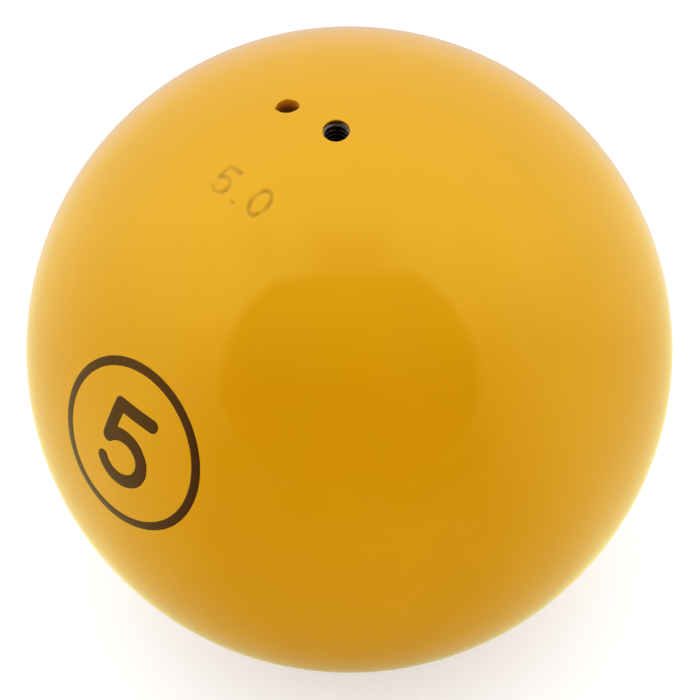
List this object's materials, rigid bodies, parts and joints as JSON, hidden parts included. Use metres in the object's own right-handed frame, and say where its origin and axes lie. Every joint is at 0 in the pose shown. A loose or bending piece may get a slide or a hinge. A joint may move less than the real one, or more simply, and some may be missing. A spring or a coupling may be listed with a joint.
{
  "type": "shot put",
  "caption": "Gloss-painted iron throwing ball with a filled core, a threaded core plug, a tapped trimming bore with its set screw, a blind spanner hole and a printed ring.",
  "frame": {"origin": "centre of the ball", "axes": "+Z out of the tapped bore along its axis; -Y towards the side that the picture was taken from; +X to that side's right"},
  "size_m": [0.11, 0.11, 0.1099],
  "materials": {
    "yellow_paint": "gloss golden-yellow enamel",
    "lead_and_resin": "dull grey lead shot in resin",
    "bright_lead": "soft grey lead",
    "white_nylon": "natural nylon",
    "oiled_steel": "dark oiled steel",
    "black_ink": "brown-black printing ink"
  },
  "bodies": {
    "ball": {"shell": "yellow_paint", "core_plug": "yellow_paint", "lead_filling": "lead_and_resin", "trim_pellet_1": "bright_lead", "trim_pellet_2": "bright_lead", "trim_pellet_3": "bright_lead", "trim_pellet_4": "bright_lead", "trim_pellet_5": "bright_lead", "trim_pellet_6": "bright_lead", "roundel": "black_ink"},
    "pad": {"thrust_pad": "white_nylon"},
    "screw": {"set_screw": "oiled_steel"}
  },
  "joints": [
    {"name": "pad_lift", "type": "slide", "parent": "ball", "child": "pad", "axis": [0, 0, 1], "range_m": [0, 0.012]},
    {"name": "screw_turn", "type": "hinge", "parent": "pad", "child": "screw", "pos_m": [0, 0, 0.047], "axis": [0, 0, 1], "range_deg": [0, 4320]}
  ],
  "couplings": [
    {"joint": "screw_turn", "follows": "pad_lift", "rad_per_m": 6283.2}
  ]
}
